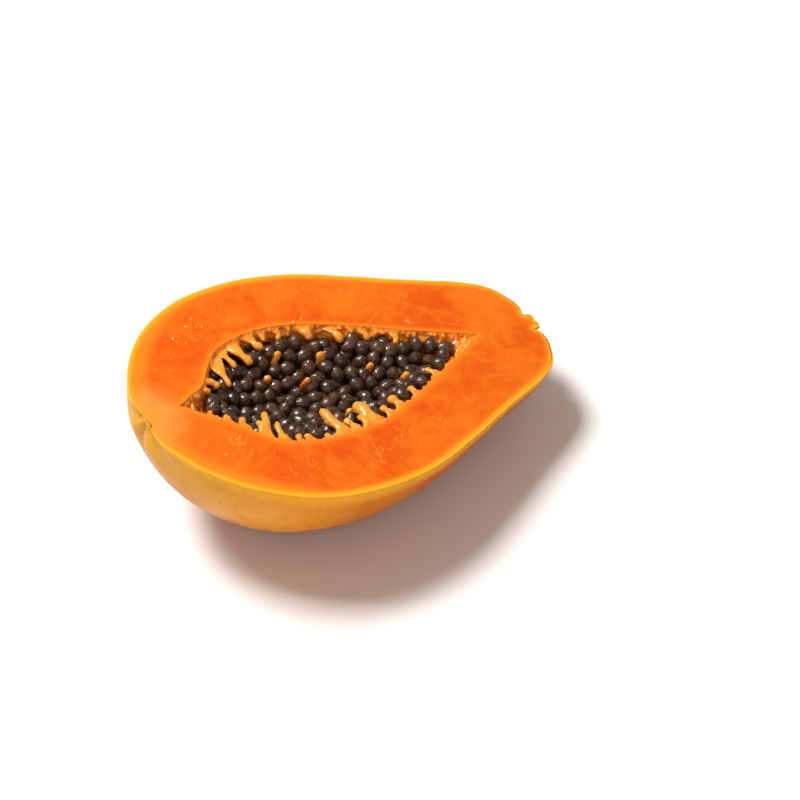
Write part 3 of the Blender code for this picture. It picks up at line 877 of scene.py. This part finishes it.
def pulp_stand(along, angle, half_width):
    """How far the ragged pulp stands in from the wall, under nought where the wall is bare."""
    a = radians(angle)
    deep = hollow_depth(half_width) * sin(a)
    side = -1 if angle < 90 else 1
    seat = Vector((along * 0.42, deep * 0.42, side * 9.0))
    rough = noise.fractal(seat * 0.9, 0.7, 2.1, 4)
    teeth = max(noise.noise(Vector((along * 0.62, deep * 0.3, side * 4.0))), 0.0)
    ledge = smoothstep(0.02, 0.9, deep) * smoothstep(8.5, 3.5, deep)
    low = smoothstep(2.0, 5.0, deep) * smoothstep(16.0, 9.0, deep)
    stand = ledge * (0.75 + 1.2 * rough + 2.6 * teeth) + low * (0.25 + 0.9 * rough) - 0.25
    stand = max(stand, 0.42 * lump_here(side, along, deep, 1.25, 2.2) - 0.25)
    return min(stand, 0.4 * half_width) * smoothstep(1.0, 4.0, half_width)


def ball_mesh():
    """The points and faces of a small ball of radius 1."""
    bm = bmesh.new()
    bmesh.ops.create_icosphere(bm, subdivisions=2, radius=1.0)
    directions = [v.co.copy() for v in bm.verts]
    ball_faces = [tuple(v.index for v in f.verts) for f in bm.faces]
    bm.free()
    return directions, ball_faces


def tongue_balls(tongue, draw):
    """The balls that a tongue of pulp is merged from: middles and sizes, from the wall to its blunt tip."""
    side, root, tip, tip_across, tip_deep, wide, thick = tongue
    root_deep = 1.5 if side < 0 else 2.2
    root_y = cavity_half_width(root) * sqrt(max(1 - (root_deep / CAVITY_DEPTH) ** 2, 0.1)) + 0.4
    start = Vector((root, cavity_middle(root) + side * root_y, -root_deep))
    finish = start.lerp(Vector((tip, tip_across, -tip_deep)), 0.92)
    phase = draw.uniform(0, 9)
    twist = draw.uniform(0.25, 0.7)
    count = max(8, int((finish - start).length * 2.4))
    for k in range(count + 1):
        t = k / count
        spot = start.lerp(finish, t)
        arch = sin(pi * t)
        spot.x += twist * sin(phase + 5.0 * t) * arch
        spot.y += 0.5 * twist * sin(2 * phase + 6.0 * t) * arch
        spot.z += 0.65 * arch + 0.25 * cos(phase + 7 * t) * t
        uneven = 1 + 0.16 * sin(phase * 3 + 9.0 * t)
        knob = 0.30 * exp(-(((t - 0.90) / (0.9 * thick / max(0.5 * count, 1) + 0.07)) ** 2))
        across = wide * (1 - t) ** 1.7 + thick * (1.08 * uneven + knob)
        height = thick * (0.80 + 0.24 * t + knob) * uneven
        yield spot, (across, thick * (0.9 + knob), height)


def nub_balls(spot, draw):
    """The balls that a free nub of pulp is merged from: middles and sizes, from the bed up."""
    lean = Vector((draw.uniform(-0.35, 0.35), draw.uniform(-0.45, 0.2), 1.0)).normalized()
    phase = draw.uniform(0, 9)
    steps = 12
    for k in range(steps + 1):
        t = k / steps
        radius = NUB_RADIUS * (0.98 + 0.16 * sin(phase + 5 * t)) * (1.0 if t < 0.8 else 1.35 - 0.45 * t)
        at = spot + lean * ((t - 0.62) * (NUB_LENGTH - 1.2 * NUB_RADIUS))
        at.x += 0.5 * sin(phase + 6 * t)
        yield at, (radius, radius * 0.8, radius)


def merged(piece):
    """The piece's mesh with its lapping parts merged into one skin and slightly relaxed."""
    remesh = piece.modifiers.new("merge", "REMESH")
    remesh.mode = "VOXEL"
    remesh.voxel_size = PULP_GRAIN
    relax = piece.modifiers.new("relax", "SMOOTH")
    relax.factor = 0.5
    relax.iterations = 2
    bpy.context.view_layer.update()
    graph = bpy.context.evaluated_depsgraph_get()
    mesh = bpy.data.meshes.new_from_object(piece.evaluated_get(graph))
    piece.modifiers.clear()
    return mesh


def pulp_piece(material):
    """Ragged pulp along the wall under the rim, with lumps, strands and free nubs in between the seeds."""
    points, faces, rows = [], [], []
    front = [(step, True) for step in range(PULP_STEPS + 1)]
    behind = [(step, False) for step in range(PULP_STEPS, -1, -1)]
    for along, half_width in even_curve(cavity_points(), PULP_RINGS)[3:-3]:
        row = []
        for step, in_front in front + behind:
            angle = 180.0 * step / PULP_STEPS
            stand = pulp_stand(along, angle, half_width) if in_front else -1.2
            radius = max(half_width - wall_pulp(along, angle, half_width) - stand, 0.1)
            row.append(len(points))
            points.append(hollow_point(along, radius, angle, PULP_DROP))
        rows.append(row)
    tube(rows, faces)
    draw = random.Random(31)
    balls = [ball for tongue in TONGUES for ball in tongue_balls(tongue, draw)]
    balls += [ball for spot in nub_spots() for ball in nub_balls(spot, draw)]
    directions, ball_faces = ball_mesh()
    for middle, size in balls:
        first = len(points)
        points += [middle + Vector((d.x * size[0], d.y * size[1], d.z * size[2])) for d in directions]
        faces += [tuple(first + k for k in face) for face in ball_faces]
    piece = make_piece("papaya_pulp", points, faces, material, "papaya_half")
    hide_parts("seeds")
    mesh = merged(piece)
    piece.data = mesh
    back = POSE.inverted()
    home = [back @ (v.co / MM) for v in mesh.vertices]
    rough = [(0.16 * noise.noise(q * 0.9) + 0.10 * noise.noise(q * 2.1)) * MM for q in home]
    moved = np.array([v.co + v.normal * r for v, r in zip(mesh.vertices, rough)], dtype=np.float32)
    mesh.vertices.foreach_set("co", moved.ravel())
    free = []
    for q in home:
        half_width = max(cavity_half_width(q.x), 0.5)
        radius = hypot(q.y - cavity_middle(q.x), q.z * CAVITY_HALF_WIDTH / CAVITY_DEPTH)
        free.append(max(half_width - radius, 0.0))
    for name, values in (("deep_mm", [-q.z for q in home]), ("free_mm", free)):
        mesh.attributes.new(name, "FLOAT", "POINT").data.foreach_set("value", values)
    mesh.shade_smooth()
    return piece


def on_face(along, across):
    """Whether a place is on the cut face, clear of the skin's lip and the hollow."""
    outline = SKIN_CURVE[1:-40]
    edge = float(np.interp(along, [p[0] for p in outline], [p[1] for p in outline]))
    hollow = cavity_half_width(along)
    away = abs(across - cavity_middle(along)) - hollow if hollow > 0 else 99.0
    return abs(across) < edge - 3.5 and away > 1.0 and 4.0 < along < 175.0


def juice_piece(material):
    """Beads of juice on the cut face, in loose clusters, that catch the light."""
    draw = random.Random(77)
    # Each cluster: its middle along the axis and across it, its spread, and how many beads are tried
    clusters = (
        (28.3, -20.6, 2.4, 8), (20.7, -26.3, 3.2, 5), (36.0, -33.0, 3.0, 5), (58.0, -45.0, 8.0, 5),
        (45.0, 45.0, 6.0, 8), (33.0, 36.0, 6.0, 6), (22.0, 22.0, 5.0, 4), (60.0, 42.0, 8.0, 4),
        (84.0, -46.0, 12.0, 5), (98.0, 40.0, 16.0, 6), (110.0, -36.0, 16.0, 4), (140.0, 18.0, 14.0, 4),
    )
    points, faces = [], []
    rings, sides = 6, 12
    for x, y, spread, count in clusters:
        for _ in range(count):
            along, across = draw.gauss(x, 0.5 * spread), draw.gauss(y, 0.5 * spread)
            size = 0.20 + 0.38 * draw.random() ** 1.8
            stretch = draw.uniform(1.0, 2.6)
            turn = draw.gauss(0.98, 0.45)
            if not on_face(along, across):
                continue
            rows = []
            for ring in range(rings + 1):
                a = pi * ring / rings
                row = []
                for side in range(sides):
                    b = tau * side / sides
                    u, v = size * stretch * sin(a) * cos(b), size * sin(a) * sin(b)
                    x_now = along + u * cos(turn) - v * sin(turn)
                    y_now = across + u * sin(turn) + v * cos(turn)
                    row.append(len(points))
                    points.append(Vector((x_now, y_now, -0.16 + 0.36 * size * cos(a))))
                rows.append(row)
            sheet(rows, faces, closed=True)
    return mend(make_piece("papaya_juice", points, faces, material, "papaya_half"), weld=True)


def fibre_piece(material):
    """Fine pale fibres that the knife left standing a hair proud of the cut face."""
    draw = random.Random(19)
    # Each patch: its middle along the axis and across it, its reach each way, and how many fibres are tried
    patches = (
        (80.0, -45.0, 22.0, 6.0, 26), (50.0, -44.0, 12.0, 5.0, 8), (40.0, 34.0, 14.0, 9.0, 7),
        (118.0, -33.0, 18.0, 6.0, 8), (90.0, 43.0, 26.0, 6.0, 9), (30.0, -28.0, 9.0, 5.0, 4),
    )
    points, faces = [], []
    steps, sides = 8, 6
    up = Vector((0, 0, 1))
    for x, y, wide, tall, count in patches:
        for _ in range(count):
            along, across = draw.gauss(x, 0.55 * wide), draw.gauss(y, 0.55 * tall)
            length = draw.uniform(1.6, 4.6)
            turn = draw.gauss(0.5 * pi, 0.55)
            bend = draw.uniform(-2.2, 2.2)
            girth = draw.uniform(0.06, 0.11)
            ends = ((along, across), (along + length, across), (along, across + length))
            if not all(on_face(*end) for end in ends):
                continue
            path, radii, rows = [], [], []
            for k in range(steps + 1):
                t = k / steps
                path.append(Vector((along, across, -0.10)))
                radii.append(girth * (0.35 + 0.65 * sin(pi * min(max(t, 0.06), 0.94))))
                heading = turn + bend * (t - 0.5)
                along += length / steps * cos(heading)
                across += length / steps * sin(heading)
            for i, at in enumerate(path):
                ahead = (path[min(i + 1, steps)] - path[max(i - 1, 0)]).normalized()
                over = up.cross(ahead)
                rows.append(list(range(len(points), len(points) + sides)))
                for k in range(sides):
                    b = tau * k / sides
                    points.append(at + over * (1.5 * radii[i] * cos(b)) + up * (radii[i] * sin(b)))
            tube(rows, faces)
    return mend(make_piece("papaya_fibres", points, faces, material, "papaya_half"), weld=True)


def settle(places, rounds=40, apart=5.7, reach=0.9, wall_room=3.6):
    """Eases the seeds apart along the bed, each within its reach, until hardly any cross."""
    spots = [p[0].copy() for p in places]
    for _ in range(rounds):
        for i, spot in enumerate(spots):
            for j in range(i):
                gap = spot - spots[j]
                size = gap.length
                if 0.01 < size < apart:
                    push = gap * (0.25 * (apart - size) / size)
                    spot += push
                    spots[j] -= push
        for i, (home, _, _) in enumerate(places):
            spot = spots[i]
            drift = spot - home
            if drift.length > reach:
                spot = home + drift * (reach / drift.length)
            room = max(cavity_half_width(spot.x) - wall_room, 0.5)
            middle = cavity_middle(spot.x)
            spot.y = min(max(spot.y, middle - room), middle + room)
            spots[i] = spot
    return [(spot, turn, lean) for spot, (_, turn, lean) in zip(spots, places)]


def lower_seeds(upper):
    """Seeds under the top layer, seen in its gaps."""
    draw = random.Random(47)
    placed = []
    for _ in range(LOWER_SEED_TRIES):
        along = draw.uniform(CAVITY_START, CAVITY_END)
        half_width = cavity_half_width(along)
        middle = cavity_middle(along)
        across = middle + draw.uniform(-1, 1) * max(half_width - 3.4, 0.0)
        turn, lean = draw.uniform(0, tau), draw.uniform(-0.9, 0.9)
        if half_width < 5.0:
            continue
        spot = Vector((along, across, bed_height(along, across) + SEED_RISE - draw.uniform(2.4, 4.6)))
        depth = hollow_depth(half_width)
        if ((across - middle) / half_width) ** 2 + ((spot.z - 2.6) / depth) ** 2 > 0.92:
            continue
        if crowded(spot, placed, LOWER_SEED_SPACING) or crowded(spot, upper, UPPER_SEED_SPACING):
            continue
        placed.append((spot, turn, lean))
    return placed


def seed_point(a, b, length, width, phase):
    """A point of a seed about its own middle: blunt at one end, finer at the other, fluted and dented."""
    taper = 1 + 0.12 * cos(a)
    flute = 1 + 0.012 * sin(8 * b + phase + 1.5 * cos(a))
    around = Vector((cos(a) * 1.4, sin(a) * cos(b), sin(a) * sin(b)))
    dent = 1 + 0.05 * noise.noise(around * 1.3 + Vector((phase, 0, 0)))
    radius = width * sin(a) ** 0.93 * taper * flute * dent if 0 < a < pi else 0.0
    nose = 0.16 * exp(-((a / 0.34) ** 2))
    return Vector((length * (cos(a) + nose) * dent, radius * cos(b), radius * 0.94 * sin(b)))


def seeds_piece(material):
    """Every seed: an egg with a blunt and a finer end, faint lengthwise ridges and small dents."""
    upper = settle(seed_places())
    nubs = [(spot, 0.0, 0.0) for spot in nub_spots()]
    draw = random.Random(3)
    rings, sides = 18, 28
    grid = [(pi * ring / rings, tau * side / sides) for ring in range(1, rings) for side in range(sides)]
    grid = [(0.0, 0.0), *grid, (pi, 0.0)]
    points, faces, tones, lengthwise = [], [], [], []
    for spot, turn, lean in upper + lower_seeds(upper + nubs):
        roll = Matrix.Rotation(draw.uniform(0, tau), 3, "X")
        pose = Matrix.Rotation(turn, 3, "Z") @ Matrix.Rotation(-lean, 3, "Y") @ roll
        length = SEED_LENGTH * draw.uniform(0.92, 1.10) * 0.5
        width = SEED_WIDTH * draw.uniform(0.94, 1.12) * 0.5
        tone = draw.random() ** 1.3
        phase = draw.uniform(0, 50)
        first = len(points)
        for a, b in grid:
            points.append(spot + pose @ seed_point(a, b, length, width, phase))
            tones.append(tone)
            lengthwise.append((cos(b) + phase, sin(b), cos(a) * 0.22))
        last = len(points) - 1
        rows = [range(first + 1 + ring * sides, first + 1 + (ring + 1) * sides) for ring in range(rings - 1)]
        sheet(rows, faces, closed=True)
        for side in range(sides):
            following = (side + 1) % sides
            faces.append((first, rows[0][side], rows[0][following]))
            faces.append((rows[-1][side], last, rows[-1][following]))
    attributes = {"seed_tone": tones, "seed_local": lengthwise}
    return make_piece("papaya_seeds", points, faces, material, "seeds", attributes)


def shade_bed_piece(material):
    """The wet bed that closes the view between the seeds, near black as painted shade for the gaps."""
    wide_places = [x for x, r in CAVITY_FINE if r > 3.0]
    first, last = wide_places[0], max(wide_places)
    rings, steps = 110, 48
    points, faces, rows = [], [], []
    above = [(step, True) for step in range(steps + 1)]
    under = [(step, False) for step in range(steps - 1, 0, -1)]
    for i in range(rings):
        along = first + (last - first) * i / (rings - 1)
        half_width = cavity_half_width(along)
        middle = cavity_middle(along)
        sink = 4.0 * min(half_width / 12.0, 1.0)
        row = []
        for step, on_top in above + under:
            across = (-1 + 2 * step / steps) * (half_width - 0.9)
            height = -hollow_depth(half_width) * sqrt(1 - (across / half_width) ** 2) + 0.15
            if on_top:
                wave = 0.8 * noise.noise(Vector((along * 0.4, across * 0.4, 5.0)))
                height = max(bed_height(along, middle + across) - sink + wave, height + 0.15)
            row.append(len(points))
            points.append(Vector((along, middle + across, height)))
        rows.append(row)
    tube(rows, faces)
    return make_piece("papaya_bed_painted_shade", points, faces, material, "seeds")


def studio():
    """A plain pale floor, soft light from the upper left, and the camera at the photograph's angle."""
    mesh = bpy.data.meshes.new("floor")
    corners = [(x * FLOOR_REACH, y * FLOOR_REACH, 0) for x, y in ((-1, -1), (1, -1), (1, 1), (-1, 1))]
    mesh.from_pydata(corners, [], [(0, 1, 2, 3)])
    mesh.materials.append(floor_material())
    add_object("floor", mesh)

    world = bpy.data.worlds.new("studio")
    world.use_nodes = True
    background = world.node_tree.nodes["Background"]
    background.inputs["Color"].default_value = WORLD_COLOUR
    background.inputs["Strength"].default_value = WORLD_STRENGTH
    bpy.context.scene.world = world

    turn, rise = radians(CAMERA_TURN), radians(CAMERA_RISE)
    right = Vector((cos(turn), sin(turn), 0))
    up = Vector((-sin(turn) * sin(rise), cos(turn) * sin(rise), cos(rise)))
    back = Vector((sin(turn) * cos(rise), -cos(turn) * cos(rise), sin(rise)))
    notch = POSE @ Vector((0, 0, 0))
    place = notch + CAMERA_PLACE[0] * right + CAMERA_PLACE[1] * up + CAMERA_PLACE[2] * back

    camera_data = bpy.data.cameras.new("camera")
    camera_data.sensor_width = SENSOR_WIDTH
    camera_data.lens = SENSOR_WIDTH * FOCAL_PIXELS / PICTURE_PIXELS
    camera_data.clip_start = 0.05
    camera = add_object("camera", camera_data)
    facing = Matrix((right, up, back)).transposed().to_4x4()
    camera.matrix_world = Matrix.Translation(place * MM) @ facing
    bpy.context.scene.camera = camera

    def softbox(name, offset, size, power):
        """A light placed by how far right, up and towards the camera it is, aimed at the fruit."""
        data = bpy.data.lights.new(name, "AREA")
        data.shape = "RECTANGLE"
        data.size, data.size_y = size
        data.energy = power
        lamp = add_object(name, data)
        flat = Vector((back.x, back.y, 0)).normalized()
        spot = offset[0] * right + Vector((0, 0, offset[1])) + offset[2] * flat
        lamp.location = spot
        lamp.rotation_euler = (-spot).to_track_quat("-Z", "Y").to_euler()

    softbox("key", (-0.85, 1.7, -0.2), (0.6, 0.6), 44.0)
    softbox("fill", (0.3, 1.1, 1.6), (1.6, 1.2), 7.0)
    view = bpy.context.scene.view_settings
    view.view_transform = "Standard"
    view.look = "None"
    view.exposure = 0.0


skin_piece(skin_material())
flesh_piece(flesh_material())
juice_piece(juice_material())
fibre_piece(fibre_material())
pulp_piece(pulp_material())
seeds_piece(seed_material())
shade_bed_piece(shade_bed_material())
studio()
